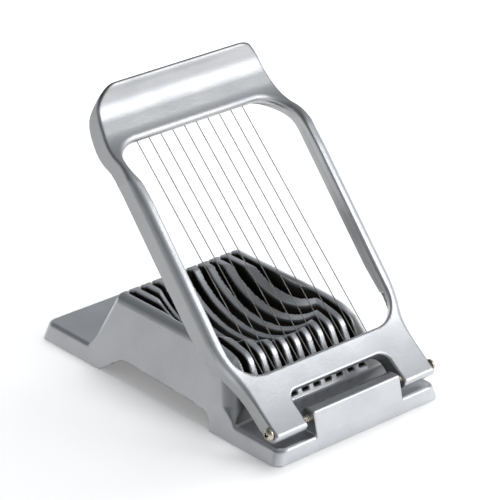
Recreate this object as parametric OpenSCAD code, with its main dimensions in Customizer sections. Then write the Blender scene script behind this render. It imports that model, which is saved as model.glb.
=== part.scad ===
// Egg slicer: a die-cast base with a slotted egg cradle and a hinged
// lever frame that carries ten taut steel cutting wires.
//
// X runs across the slicer along the hinge, Y from the hinge edge to the
// tail, Z up from the table. The modules measure Y from the hinge edge,
// and the finished pieces stand with the middle of the base over the
// origin. The lever is drawn as it stands open. The part that takes the
// most skill is the egg cradle: one surface of revolution about an axis
// across the block, cut into ribs by ten slots that also open the front
// face and narrow to wire kerfs at the ridge.

/* [Base plate] */
// length from the hinge edge to the tail
base_length = 138.5; // [110:0.5:170]
// width where the side walls meet the table
base_width = 82; // [70:0.5:100]
// inward lean of the side walls
side_lean = 18.9; // [8:0.1:24]
// height of the deck under the hinge
deck_height = 6.2; // [5:0.1:8]
// height of the tail plate
tail_height = 6.7; // [5:0.1:9]
// thickness of the cast walls
wall = 2.6; // [1.8:0.1:3.5]
// rounding of the plate corners seen from above
plate_corner = 4; // [1:0.5:6]
// rounding along the upper edges
edge_round = 1.6; // [0.6:0.1:2.4]

/* [Egg block] */
// where the front face would reach the table
face_foot = 22.4; // [18:0.1:30]
// slope of the front face from the table
face_angle = 63.3; // [50:0.1:75]
// height of the crease above the front face
crease_height = 25.5; // [20:0.1:28]
// height of the block at the ridge
block_height = 28.7; // [25:0.1:36]
// rounding along the crease
crease_round = 3; // [1:0.5:5]
// radius of the shoulder between crease and flat top
shoulder_radius = 76; // [50:1:120]
// distance of the back ridge from the hinge edge
ridge_y = 102.2; // [90:0.1:115]
// slope of the back face from the table
back_angle = 70; // [55:1:85]
// rounding of the upright front corners
face_corner = 6; // [2:0.5:8]

/* [Side arch] */
// front end of the arch at the table
arch_start = 35.5; // [30:0.5:50]
// back end of the arch at the table
arch_end = 101.8; // [80:0.5:110]
// height of the arch at its back
arch_height = 8; // [4:0.1:8.6]
// run of the slanted back end
arch_slant = 12; // [4:0.5:20]
// rounding at the front of the arch
arch_round = 6; // [2:0.5:7]

/* [Egg cradle] */
// distance of the cradle axis from the hinge edge
cradle_y = 67.5; // [60:0.1:75]
// height of the cradle axis
cradle_axis = 56; // [45:0.5:70]
// radius of the cradle at its middle
cradle_radius = 42; // [36:0.1:48]
// radius of the cradle profile along the egg
cradle_profile = 34; // [26:0.5:40]

/* [Slots] */
// number of slots and of cutting wires
slot_count = 10; // [6:1:12]
// spacing of the slots
slot_pitch = 5.7; // [4:0.05:6.5]
// width of a slot
slot_width = 3; // [1.5:0.1:3.6]
// height at which the slots end on the front face
slot_floor = 7.8; // [7:0.1:9]
// land between the slots and the ridge
ridge_land = 1.8; // [1:0.1:4]
// width of the kerf that lets a wire past the ridge
kerf_width = 1; // [0.8:0.05:1.6]
// height at which the kerfs end
kerf_floor = 14.5; // [11:0.1:18]
// underside of the ribs
rib_underside = 9.6; // [9:0.1:12]

/* [Hinge] */
// distance of the hinge axis from the hinge edge
hinge_y = 5.5; // [5:0.1:8]
// height of the hinge axis
hinge_height = 11.7; // [10:0.1:14]
// width of the hinge block between the lugs
hinge_block_width = 42.6; // [30:0.1:50]
// height of the hinge block
hinge_block_height = 15.5; // [13.5:0.1:18]
// radius of the back of the hinge block
hinge_block_round = 3.8; // [3:0.1:5]
// diameter of the hinge screws
screw_size = 3; // [2:0.1:3.5]
// running clearance of the lug on the screw, on the radius
screw_play = 0.05; // [0.02:0.01:0.1]
// length of thread in the hinge block
thread_length = 10; // [6:0.5:16]
// diameter of the screw head
head_size = 5; // [4:0.1:6.4]
// height of the screw head
head_height = 2; // [1.2:0.1:3]
// gap between the screw head and the lug
head_gap = 0.3; // [0.1:0.05:0.5]

/* [Lever frame] */
// opening angle in the drawn pose, from the table
lever_angle = 49.5; // [10.5:0.5:110]
// distance from the hinge axis to the handle rim
lever_reach = 141.2; // [120:0.1:160]
// half width over the arms
arm_side = 44.7; // [42:0.1:50]
// half width over the lugs
lug_side = 39.4; // [36:0.1:41]
// half width of the notch between the lugs
notch_side = 24.1; // [22:0.1:28]
// distance from the hinge axis to the notch edge
notch_reach = 11.2; // [9:0.1:14]
// rounding in the corners of the notch
notch_round = 4; // [1:0.5:6]
// drop of the arm face behind the hinge axis plane
arm_drop = 3.4; // [2:0.1:6]
// radius of the curve from the arms to the lugs
heel_radius = 180; // [140:1:260]
// where that curve begins on the arms
heel_start = 45; // [38:1:60]
// depth of the frame from face to underside
frame_depth = 8.7; // [6:0.1:11]
// radius of the lug end about the hinge axis
lug_round = 3.7; // [3:0.1:4.5]
// width of the arm on its face
arm_width = 4.2; // [3:0.1:6]
// taper of the handle from the arms to the rim, on each side
handle_taper = 10.2; // [4:0.1:16]

/* [Lever window] */
// distance from the hinge axis to the lower edge, at the arm face
window_start = 20.5; // [19:0.1:26]
// distance from the handle rim to the upper edge, at the arm face
rim_to_window = 25.7; // [22:0.1:34]
// rounding of the lower corners
window_low_round = 13; // [8:0.5:18]
// rounding of the upper corners
window_high_round = 11; // [8:0.5:18]
// draft of the window walls
window_draft = 16.5; // [4:0.5:20]

/* [Thumb scoop] */
// distance from the handle rim to the middle of the scoop
rim_to_scoop = 13.2; // [12:0.1:16]
// depth of the scoop below the hinge axis plane
scoop_drop = 11.4; // [8:0.1:14]
// radius of the scoop
scoop_radius = 14; // [10:0.5:22]
// thickness of the thumb bar
bar_wall = 3.5; // [2:0.1:4.5]
// thickness of the cast skirts round the hollow back
skirt_wall = 2.2; // [1.6:0.1:3]

/* [Cutting wires] */
// diameter of a cutting wire
wire_size = 0.5; // [0.3:0.05:0.7]
// diameter of the bead on each wire end
bead_size = 1.8; // [1.2:0.1:2.4]
// clearance of a wire in its hole, on the radius
wire_play = 0.1; // [0.05:0.01:0.2]
// gap between a bead and its rail
bead_gap = 0.05; // [0.02:0.01:0.1]
// thickness of the two wire rails
rail_wall = 2.4; // [1.5:0.1:4]
// upper rail, distance from the handle rim
rim_to_rail = 16.2; // [14:0.1:18]
// length of the rails past the outer wires
rail_end = 3; // [2:0.1:5]
// wire depth at the upper rail, below the hinge axis plane
upper_wire_drop = 16.2; // [15:0.1:17]
// lower rail, distance from the hinge axis
lower_rail = 16.3; // [16.2:0.1:18]
// wire depth at the lower rail, below the hinge axis plane
lower_wire_drop = 6.7; // [6:0.1:7.2]

/* [Finish] */
// colour of the die-cast aluminium
metal = [0.70, 0.71, 0.72];
// colour of the hinge screws
brass = [0.78, 0.70, 0.58];
// colour of the cutting wires
steel = [0.45, 0.45, 0.46];

/* [Hidden] */
$fn = 96;
eps = 0.01;
big = 200;
half_width = base_width / 2;
lean = tan(side_lean);
face_run = 1 / tan(face_angle);
crease_y = face_foot + crease_height * face_run;
flat_y = crease_y + sqrt(pow(shoulder_radius, 2)
    - pow(shoulder_radius - (block_height - crease_height), 2));
face_normal = [-sin(face_angle), cos(face_angle)];
shoulder_centre = [flat_y, block_height - shoulder_radius];
crease_start = [face_foot, 0] - crease_round * face_normal - shoulder_centre;
crease_along = -crease_start * [cos(face_angle), sin(face_angle)];
crease_climb = crease_along + sqrt(pow(crease_along, 2)
    - crease_start * crease_start + pow(shoulder_radius - crease_round, 2));
crease_centre = crease_start + shoulder_centre
    + crease_climb * [cos(face_angle), sin(face_angle)];
shoulder_normal = (crease_centre - shoulder_centre) / (shoulder_radius - crease_round);
back_foot = ridge_y + (block_height - tail_height) / tan(back_angle);
slot_end = ridge_y - ridge_land - slot_width / 2;
slot_reach = (slot_count - 1) / 2 * slot_pitch;
cradle_offset = cradle_radius - cradle_profile;
block_side = hinge_block_width / 2;
heel_centre = heel_radius - arm_drop;
shoulder = (arm_side - lug_side);
shoulder_length = 29;
shoulder_arc = (pow(shoulder_length, 2) + pow(shoulder, 2)) / (4 * shoulder);
shoulder_start = 9;
ease = 0.02;
window_end = lever_reach - rim_to_window;
scoop_reach = lever_reach - rim_to_scoop;
scoop_entry = scoop_reach - 27;
upper_rail = lever_reach - rim_to_rail;
scoop_flat = 4;
wave_fall = scoop_drop - arm_drop;
wave_run = scoop_reach - scoop_flat - scoop_entry;
wave_radius = (pow(wave_run, 2) + pow(wave_fall, 2)) / (4 * wave_fall);
handle_round = 9;
handle_slope = 57.2;
rim_drop = -5.8;
rim_corner = 9;
taper_start = lever_reach - 36.9;
rim_side = arm_side - (rim_corner + (lever_reach - rim_corner - taper_start)
    * sin(handle_taper)) / cos(handle_taper);
draft = tan(window_draft);
handle_back = lever_reach - 0.35 - handle_round * sin(handle_slope)
    - (rim_drop + scoop_drop + frame_depth - handle_round * (1 - cos(handle_slope)))
    / tan(handle_slope);
wire_rise = lower_wire_drop - upper_wire_drop;
wire_run = upper_rail - lower_rail;
wire_angle = atan(wire_rise / wire_run);
wire_length = sqrt(pow(wire_run, 2) + pow(wire_rise, 2));

// a side view, drawn in Y and Z, carried through along X
module along_x(length) {
    rotate([90, 0, 90])
        translate([0, 0, -length / 2])
            linear_extrude(length) children();
}

// a front view, drawn in X and Z, carried back along Y
module along_y(start, end) {
    translate([0, end, 0])
        rotate([90, 0, 0])
            linear_extrude(end - start) children();
}

// places the lever parts: Y along the arms from the hinge axis, Z out of
// the face of the frame
module on_lever() {
    translate([0, hinge_y, hinge_height])
        rotate([lever_angle, 0, 0]) children();
}

// Base casting

// side view of the low plate: deck in front, tail behind
module plate_side() {
    polygon([[0, 0], [0.5, deck_height - edge_round],
        [0.5 + edge_round, deck_height - edge_round],
        [0.5 + edge_round, deck_height], [face_foot + 8, deck_height],
        [back_foot - 8, tail_height], [base_length - 1.4 - edge_round, tail_height],
        [base_length - 1.4 - edge_round, tail_height - edge_round],
        [base_length - 1.4, tail_height - edge_round], [base_length, 0]]);
    translate([0.5 + edge_round, deck_height - edge_round]) circle(edge_round);
    translate([base_length - 1.4 - edge_round, tail_height - edge_round])
        circle(edge_round);
}

// side view of the egg block: sloped face, rounded crease, curved shoulder,
// flat top
module block_side_view() {
    difference() {
        intersection() {
            polygon([[face_foot, 0], [crease_y + 5 * face_run, crease_height + 5],
                [ridge_y, crease_height + 5], [ridge_y, block_height],
                [back_foot + tail_height / tan(back_angle), 0]]);
            union() {
                translate([flat_y, 0]) square([big, block_height]);
                translate([flat_y, block_height - shoulder_radius])
                    circle(shoulder_radius, $fn = 360);
            }
        }
        // what the rounding takes off between face and shoulder
        difference() {
            polygon([crease_centre, crease_centre + 3 * crease_round * face_normal,
                crease_centre + 3 * crease_round * shoulder_normal]);
            translate(crease_centre) rotate(45) circle(crease_round + ease);
        }
    }
}

// front view of the leaning side walls, moved inward by a skin
module leaning_sides(skin, height) {
    bottom = half_width - skin;
    top = bottom - height * lean;
    polygon([[-bottom, 0], [bottom, 0], [top, height], [-top, height]]);
}

// front view of the block with its rounded top edges
module block_front_view() {
    round = 3;
    top = half_width - block_height * lean;
    inset = round * tan((90 - side_lean) / 2);
    difference() {
        leaning_sides(0, block_height);
        for (side = [-1, 1])
            translate([side * (top - inset), block_height - round])
                difference() {
                    translate([side > 0 ? 0 : -20, round * sin(side_lean)])
                        square([20, 20]);
                    circle(round);
                }
    }
}

// plan of the plate with its four rounded corners
module plate_plan() {
    for (x = [-1, 1], y = [plate_corner, base_length - plate_corner])
        translate([x * (half_width - plate_corner), y]) circle(plate_corner);
    translate([-half_width, plate_corner])
        square([base_width, base_length - 2 * plate_corner]);
    translate([-half_width + plate_corner, 0])
        square([base_width - 2 * plate_corner, base_length]);
}

module plate_body() {
    intersection() {
        along_x(big) plate_side();
        along_y(-1, base_length + 1) leaning_sides(0, 12);
        linear_extrude(12) plate_plan();
    }
}

module block_body() {
    difference() {
        intersection() {
            along_x(big) block_side_view();
            along_y(0, base_length) block_front_view();
        }
        face_corner_cut();
        mirror([1, 0, 0]) face_corner_cut();
    }
}

// what rounding takes off the slanted edge between front face and side
// wall, drawn square to that edge and stood up along it
module face_corner_cut() {
    // cosine of the angle between the two face normals
    meet = sin(side_lean) * cos(face_angle);
    face = [meet, -sqrt(1 - meet * meet)];
    middle = [-face_corner, face_corner * (1 - meet) / sqrt(1 - meet * meet)];
    translate([half_width, face_foot, 0])
        rotate([0, -side_lean, 0])
            rotate([-atan(face_run * cos(side_lean)), 0, 0])
                translate([0, 0, -10])
                    linear_extrude(60)
                        difference() {
                            polygon([middle, middle + [1.5 * face_corner, 0],
                                middle + 1.5 * face_corner * [1, -1],
                                middle + 1.5 * face_corner * face]);
                            translate(middle) rotate(45) circle(face_corner);
                        }
}

// hinge block between the lugs, solid for the screw threads
module hinge_block() {
    back = hinge_y + hinge_block_round;
    along_x(hinge_block_width) {
        polygon([[0, 0], [0.2, deck_height], [2.1, hinge_block_height - 1],
            [3.1, hinge_block_height], [hinge_y, hinge_block_height], [back, 5],
            [back, 0]]);
        translate([hinge_y, hinge_block_height - hinge_block_round])
            circle(hinge_block_round);
        translate([hinge_y, 0])
            square([hinge_block_round, hinge_block_height - hinge_block_round]);
    }
}

// hollow under the plate and the block, open to the table
module underside() {
    deck_back = face_foot + rib_underside * face_run + wall / sin(face_angle);
    along_y(hinge_y + hinge_block_round + wall, deck_back + 1)
        leaning_sides(wall, deck_height - wall);
    // pockets on both sides of the hinge block
    along_y(wall, hinge_y + hinge_block_round + wall + 1)
        difference() {
            leaning_sides(wall, deck_height - wall);
            translate([-block_side - wall, -1]) square([2 * (block_side + wall), 20]);
        }
    along_y(deck_back, ridge_y - 2) leaning_sides(wall, rib_underside);
    along_y(ridge_y - 3, base_length - wall - 1.4) leaning_sides(wall, tail_height - wall);
    // chambers between the outer slots and the side walls
    along_y(crease_y + 6, ridge_y - 4)
        for (side = [-1, 1]) {
            inner = slot_reach + slot_width / 2 + wall;
            polygon([[side * inner, 1], [side * (half_width - wall - 2), 1],
                [side * (half_width - wall - rib_underside * lean), rib_underside],
                [side * (half_width - wall - 21 * lean), 21], [side * inner, 21]]);
        }
}

// side arches, one shape through both walls
module arches() {
    front = arch_start + arch_round * 0.45;
    along_x(big) {
        polygon([[arch_start, -1], [front, 1.2], [front + 1, arch_height - 2],
            [front + arch_round, arch_height - 1.7],
            [arch_end - arch_slant, arch_height], [arch_end, 0],
            [arch_end, -1]]);
        translate([front + arch_round - 0.6, arch_height - 1.7 - arch_round + 0.3])
            intersection() {
                circle(arch_round);
                translate([-big, 0]) square([2 * big, big]);
            }
    }
}

// hollow for the egg: a profile arc turned about an axis across the block
module egg_cradle() {
    translate([0, cradle_y, cradle_axis])
        rotate([0, 90, 0])
            rotate_extrude($fn = 180)
                intersection() {
                    translate([cradle_offset, 0]) circle(cradle_profile, $fn = 180);
                    translate([0, -big]) square(2 * big);
                }
}

// one slot with its round end, and the kerf that carries it past the ridge
module slot() {
    translate([-slot_width / 2, face_foot - 3, slot_floor])
        cube([slot_width, slot_end - face_foot + 3, big]);
    translate([0, slot_end, slot_floor]) cylinder(d = slot_width, h = big);
    translate([-kerf_width / 2, slot_end, kerf_floor])
        cube([kerf_width, back_foot - slot_end, big]);
}

module base_casting() {
    color(metal) difference() {
        union() {
            plate_body();
            block_body();
            hinge_block();
        }
        underside();
        arches();
        egg_cradle();
        for (i = [0:slot_count - 1])
            translate([i * slot_pitch - slot_reach, 0, 0]) slot();
        // threaded holes for the hinge screws
        for (side = [-1, 1])
            translate([side * (block_side - thread_length - 1), hinge_y, hinge_height])
                rotate([0, side * 90, 0])
                    cylinder(d = screw_size + 0.04, h = big);
    }
}

// Hinge screws

// pan-head screw along X; the shank is plain in the lug, threaded beyond
module hinge_screw() {
    tip = block_side - thread_length;
    seat = lug_side + head_gap;
    dome = (pow(head_size / 2, 2) + pow(head_height, 2)) / (2 * head_height) + 0.35;
    difference() {
        rotate([0, 90, 0]) {
            translate([0, 0, tip]) cylinder(d = screw_size, h = seat - tip + eps);
            translate([0, 0, seat]) intersection() {
                cylinder(d = head_size, h = head_height);
                translate([0, 0, head_height - dome]) sphere(dome);
            }
        }
        // cross recess
        for (turn = [0, 90])
            translate([seat + head_height - 1.1, 0, 0]) rotate([turn + 20, 0, 0])
                translate([0, -0.4, -1.35]) cube([2, 0.8, 2.7]);
    }
}

module hinge_screw_right() {
    color(brass) translate([0, hinge_y, hinge_height]) hinge_screw();
}

module hinge_screw_left() {
    color(brass) translate([0, hinge_y, hinge_height]) mirror([1, 0, 0]) hinge_screw();
}

// Lever frame, drawn along the arms

// everything below the face of the straight arm, the fall into the thumb
// scoop and its rise to the rim, moved down by a depth
module below_face(depth) {
    half_fall = -arm_drop - wave_fall / 2;
    translate([0, -depth]) difference() {
        union() {
            translate([heel_start, -big]) square([scoop_entry - heel_start, big - arm_drop]);
            translate([scoop_entry, -big]) square([big, big + half_fall]);
            translate([scoop_reach, -big]) square([big, big + rim_drop]);
            // convex start of the fall
            intersection() {
                translate([scoop_entry, -arm_drop - wave_radius]) circle(wave_radius, $fn = 180);
                translate([scoop_entry, -40]) square([wave_run / 2, 40]);
            }
        }
        // concave end of the fall
        intersection() {
            translate([scoop_entry + wave_run, wave_radius - scoop_drop])
                circle(wave_radius, $fn = 180);
            translate([scoop_entry + wave_run / 2, -40]) square([wave_run / 2, 60]);
        }
        // floor of the scoop and the rise to the rim
        translate([scoop_entry + wave_run, -scoop_drop]) square([scoop_flat, 40]);
        intersection() {
            translate([scoop_reach, scoop_radius - scoop_drop]) circle(scoop_radius, $fn = 120);
            translate([scoop_reach, -40]) square([60, 60]);
        }
        translate([scoop_reach + scoop_radius - eps, -20]) square(big);
    }
}

// side view of the lug and the heel curve
module heel_side() {
    difference() {
        union() {
            circle(lug_round);
            polygon([[0, -lug_round], [3, -lug_round - 1.4],
                [heel_start, -arm_drop - frame_depth], [heel_start, -arm_drop],
                [heel_start - 1, 1], [0, lug_round]]);
        }
        intersection() {
            translate([heel_start, heel_centre]) circle(heel_radius, $fn = 720);
            translate([-10, -10]) square([heel_start + 10, 20]);
        }
    }
}

// side view of the whole frame, from the lug to the rim of the handle
module frame_side() {
    heel_side();
    difference() {
        below_face(0);
        below_face(frame_depth);
        // rounded back of the handle
        difference() {
            translate([handle_back, -60]) square([60, 60]);
            translate([handle_back, handle_round - scoop_drop - frame_depth])
                circle(handle_round);
            polygon([[handle_back, -scoop_drop],
                [handle_back + handle_round * sin(handle_slope),
                handle_round * (1 - cos(handle_slope)) - scoop_drop - frame_depth],
                [lever_reach, rim_drop], [lever_reach - 3, 0], [handle_back, 0]]);
        }
        translate([handle_back, rim_drop]) square([60, 60]);
    }
}

// plan of the frame: lugs, shoulders that widen to the arms, tapered
// handle; an inset moves the sides inward
module frame_plan(inset) {
    middle = shoulder_start + shoulder_length / 2;
    top = shoulder_start + shoulder_length;
    lug = lug_side - inset;
    arm = arm_side - inset;
    rim = [rim_side - inset, lever_reach - rim_corner];
    edge = rim + rim_corner * [cos(handle_taper), sin(handle_taper)];
    // the arcs run into each other with a small overlap
    difference() {
        translate([-lug - shoulder / 2, -10]) square([2 * lug + shoulder, middle + 10]);
        for (side = [-1, 1]) {
            translate([side * (lug + 5) - 5, -11]) square([10, shoulder_start + 11]);
            translate([side * (lug + shoulder_arc - ease), shoulder_start])
                rotate(45) circle(shoulder_arc, $fn = 240);
        }
    }
    intersection() {
        translate([-arm, shoulder_start + 4]) square([2 * arm, shoulder_length - 4]);
        union() {
            translate([arm - shoulder_arc + ease, top])
                rotate(45) circle(shoulder_arc, $fn = 240);
            translate([shoulder_arc - arm - ease, top])
                rotate(45) circle(shoulder_arc, $fn = 240);
        }
    }
    polygon([[-arm, top], [arm, top], [arm, taper_start], edge, rim, [rim[0], lever_reach],
        [-rim[0], lever_reach], [-rim[0], rim[1]], [-edge[0], edge[1]], [-arm, taper_start]]);
    for (side = [-1, 1])
        translate([side * rim[0], rim[1]]) rotate(33) circle(rim_corner);
}

// window through the frame: four cones for its corners and two slabs, all
// with the same draft, widest at the underside
module window() {
    top = 6;
    bottom = -30;
    side = arm_side - arm_width;
    low = window_start;
    high = window_end;
    grow_top = (-arm_drop - top) * draft;
    grow_bottom = (-arm_drop - bottom) * draft;
    for (x = [-1, 1]) {
        translate([x * (side - window_low_round), low + window_low_round, bottom])
            rotate(33) cylinder(r1 = window_low_round + grow_bottom + ease,
                r2 = window_low_round + grow_top + ease, h = top - bottom);
        translate([x * (side - window_high_round), high - window_high_round, bottom])
            rotate(33) cylinder(r1 = window_high_round + grow_bottom + ease,
                r2 = window_high_round + grow_top + ease, h = top - bottom);
    }
    along_y(low + window_low_round, high - window_high_round)
        polygon([[-side - grow_bottom, bottom], [side + grow_bottom, bottom],
            [side + grow_top, top], [-side - grow_top, top]]);
    along_x(2 * (side - window_low_round))
        polygon([[low - grow_bottom, bottom], [low + 20, bottom], [low + 20, top],
            [low - grow_top, top]]);
    along_x(2 * (side - window_high_round))
        polygon([[high - 20, bottom], [high + grow_bottom, bottom],
            [high + grow_top, top], [high - 20, top]]);
}

// notch between the lugs, with rounded corners
module notch() {
    flat = notch_side - notch_round;
    start = notch_reach - notch_round;
    translate([0, 0, -30]) linear_extrude(60) {
        translate([-notch_side, -10]) square([2 * notch_side, 10 + start]);
        translate([-flat, -10]) square([2 * flat, 10 + notch_reach]);
        for (side = [-1, 1])
            translate([side * flat, start]) rotate(45) circle(notch_round + ease);
    }
}

// hollow behind the lower bar
module lower_hollow() {
    intersection() {
        along_x(big) polygon([[notch_reach + 1.6, -30], [notch_reach + 1.6, -4.6],
            [window_start + 12, -6.6], [window_start + 17, -30]]);
        translate([0, 0, -40]) linear_extrude(50) frame_plan(skirt_wall);
    }
}

// hollow behind the thumb bar, with a rounded roof that meets the skirts
module upper_hollow() {
    roof = scoop_drop + bar_wall - 1.2;
    curve = 7;
    side = rim_side - skirt_wall + 3;
    intersection() {
        along_x(big) below_face(bar_wall);
        along_y(window_end - 8, handle_back + 4.6) {
            translate([-side, -40]) square([2 * side, 40 - roof - curve]);
            translate([curve - side, -40]) square([2 * (side - curve), 40 - roof]);
            for (x = [-1, 1])
                translate([x * (side - curve), -roof - curve]) rotate(33) circle(curve);
        }
    }
}

// rail with one hole per wire, cast under a bar
module wire_rail(reach, drop, top, bottom) {
    difference() {
        translate([-slot_reach - rail_end, reach - rail_wall / 2, bottom])
            cube([2 * (slot_reach + rail_end), rail_wall, top - bottom]);
        for (i = [0:slot_count - 1])
            translate([i * slot_pitch - slot_reach, reach, -drop])
                rotate([90 + wire_angle, 0, 0])
                    cylinder(d = wire_size + 2 * wire_play, h = 6 * rail_wall, center = true,
                        $fn = 24);
    }
}

module lever_frame() {
    color(metal) on_lever() {
        difference() {
            intersection() {
                along_x(big) frame_side();
                linear_extrude(big, center = true) frame_plan(0);
            }
            window();
            lower_hollow();
            upper_hollow();
            notch();
            // hinge bore
            rotate([0, 90, 0])
                cylinder(d = screw_size + 2 * screw_play, h = big, center = true);
        }
        wire_rail(lower_rail, lower_wire_drop, -4.2, -7.7);
        wire_rail(upper_rail, upper_wire_drop, -scoop_drop - bar_wall + 0.6, -17.6);
    }
}

// Cutting wires

// one taut wire with a bead behind each rail, turned about its own axis
module cutting_wire(index) {
    bead = bead_size / 2;
    stand = rail_wall / 2 + bead + bead_gap;
    color(steel) on_lever()
        translate([(index - 1) * slot_pitch - slot_reach, lower_rail, -lower_wire_drop])
            rotate([wire_angle - 90, 0, 0]) rotate_extrude($fn = 32)
                intersection() {
                    union() {
                        translate([0, -stand]) square([wire_size / 2, wire_length + 2 * stand]);
                        translate([0, -stand]) circle(bead);
                        translate([0, wire_length + stand]) circle(bead);
                    }
                    translate([0, -big]) square(2 * big);
                }
}

// stands the pieces with the middle of the base over the origin
module centred() {
    translate([0, -base_length / 2, 0]) children();
}

centred() base_casting();
centred() lever_frame();
centred() hinge_screw_left();
centred() hinge_screw_right();
centred() cutting_wire(1);  // cutting_wire_01
centred() cutting_wire(2);  // cutting_wire_02
centred() cutting_wire(3);  // cutting_wire_03
centred() cutting_wire(4);  // cutting_wire_04
centred() cutting_wire(5);  // cutting_wire_05
centred() cutting_wire(6);  // cutting_wire_06
centred() cutting_wire(7);  // cutting_wire_07
centred() cutting_wire(8);  // cutting_wire_08
centred() cutting_wire(9);  // cutting_wire_09
centred() cutting_wire(10);  // cutting_wire_10
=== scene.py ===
"""Visual model of a die-cast egg slicer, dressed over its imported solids.

The two castings are drawn as rounded distance fields and meshed by surface
nets. The cutting wires and the hinge screws are set out by Geometry Nodes.
Shapes are drawn in millimetres with Y from the hinge edge, and their meshes
are stored in metres with the middle of the base over the origin.
"""

import logging
import math
from dataclasses import dataclass
from enum import Enum
from functools import reduce
from itertools import product
from typing import Callable, Sequence

import bpy
import numpy as np
from mathutils import Matrix, Vector


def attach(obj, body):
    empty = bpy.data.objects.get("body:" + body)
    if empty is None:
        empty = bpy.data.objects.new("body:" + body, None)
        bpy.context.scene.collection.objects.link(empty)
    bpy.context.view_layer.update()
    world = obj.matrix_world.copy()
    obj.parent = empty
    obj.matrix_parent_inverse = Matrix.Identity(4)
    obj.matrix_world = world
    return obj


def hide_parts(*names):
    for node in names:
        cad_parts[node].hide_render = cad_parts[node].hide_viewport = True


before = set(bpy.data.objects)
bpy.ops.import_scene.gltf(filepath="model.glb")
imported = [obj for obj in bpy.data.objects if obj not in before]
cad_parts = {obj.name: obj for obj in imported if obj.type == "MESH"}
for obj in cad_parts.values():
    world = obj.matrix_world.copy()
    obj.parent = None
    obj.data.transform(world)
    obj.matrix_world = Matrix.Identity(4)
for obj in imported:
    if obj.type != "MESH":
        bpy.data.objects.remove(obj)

LOG = logging.getLogger("egg_slicer")
MM = 0.001
WHITE = (1.0, 1.0, 1.0, 1.0)

ALL, LOW, HIGH = slice(None), slice(None, -1), slice(1, None)

Grid = np.ndarray
Field = Callable[[Grid, Grid, Grid], Grid]


class Body(Enum):
    """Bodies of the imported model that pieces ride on."""

    BASE = "base"
    LEVER = "lever"


class Slot(Enum):
    """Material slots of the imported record."""

    CASTING = "cast_aluminium"
    SCREW = "screw_metal"
    WIRE = "wire_steel"


# Rounded distance fields


def meet(a: Grid, b: Grid, rounding: Grid | float) -> Grid:
    """Keep what lies inside both shapes and round the edge between them.

    Args:
        a: Distance to the first shape, negative inside.
        b: Distance to the second shape, negative inside.
        rounding: Radius of the edge, one value or one for each point.

    Returns:
        Distance to the common part.
    """
    corner = np.hypot(np.maximum(a + rounding, 0.0), np.maximum(b + rounding, 0.0))
    return np.minimum(np.maximum(a, b), -rounding) + corner


def common(*shapes: Grid) -> Grid:
    """Keep what lies inside all the shapes, with sharp edges between them."""
    return reduce(np.maximum, shapes)


def join(a: Grid, b: Grid, fillet: Grid | float) -> Grid:
    """Join two shapes and fill the corner between them."""
    corner = np.hypot(np.maximum(fillet - a, 0.0), np.maximum(fillet - b, 0.0))
    return np.maximum(np.minimum(a, b), fillet) - corner


def cut(a: Grid, b: Grid, rounding: Grid | float) -> Grid:
    """Cut the second shape from the first and round the edge of the cut."""
    return meet(a, -b, rounding)


def ramp(value: Grid, start: float, end: float) -> Grid:
    """Rise smoothly from 0 at start to 1 at end."""
    t = np.clip((value - start) / (end - start), 0.0, 1.0)
    return t * t * (3.0 - 2.0 * t)


def lines(*spans: tuple[float, float, float]) -> Grid:
    """Lay grid lines over spans that follow each other.

    Args:
        spans: Start, end and step of each span, in millimetres.

    Returns:
        Rising coordinates of all the lines.
    """
    parts = []
    for start, end, step in spans:
        count = max(1, round((end - start) / step))
        parts.append(np.linspace(start, end, count, endpoint=False))
    parts.append(np.array([spans[-1][1]]))
    return np.concatenate(parts)


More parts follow.
